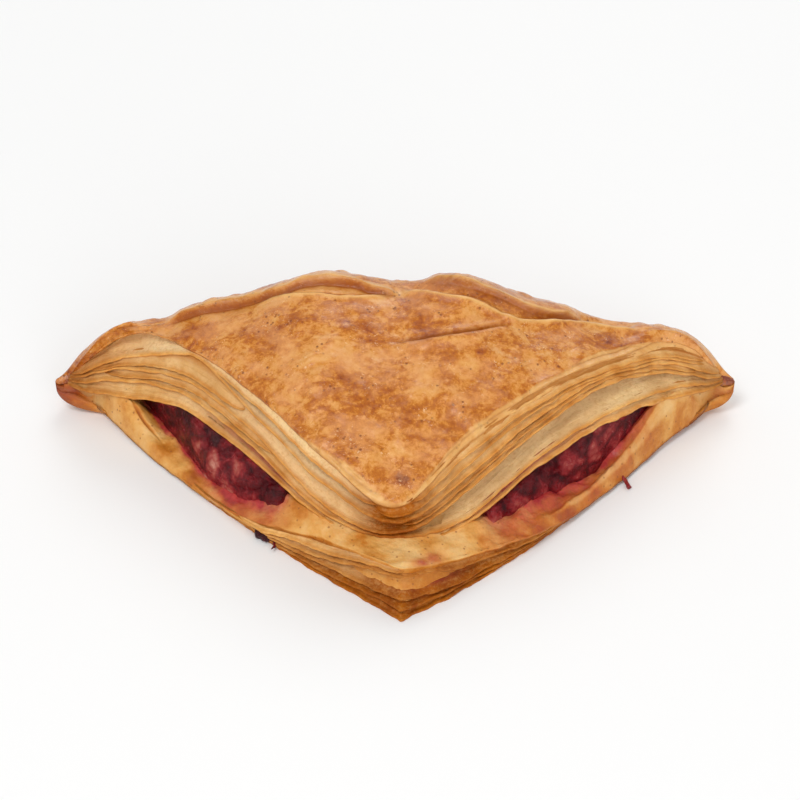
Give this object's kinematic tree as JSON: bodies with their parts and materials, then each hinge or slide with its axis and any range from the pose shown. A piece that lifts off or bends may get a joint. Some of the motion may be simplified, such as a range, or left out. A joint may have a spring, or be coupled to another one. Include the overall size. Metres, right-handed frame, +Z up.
{
  "type": "turnover pastry",
  "caption": "Baked puff-pastry turnover, folded corner to corner into a triangle over a dark cherry filling that shows along its open cut sides.",
  "frame": {"origin": "middle of the object's box, on the surface that it rests on", "axes": "+X along the fold from tip to tip, +Y from the cut corner towards the fold, +Z up"},
  "size_m": [0.167, 0.0928, 0.0416],
  "materials": {
    "pastry": "golden-brown baked puff pastry, lightly glazed on top, paler leaves at the cut sides",
    "filling": "wet, dark red cooked cherries in their syrup"
  },
  "bodies": {
    "root": {"pastry": "pastry", "filling": "filling"}
  },
  "joints": []
}
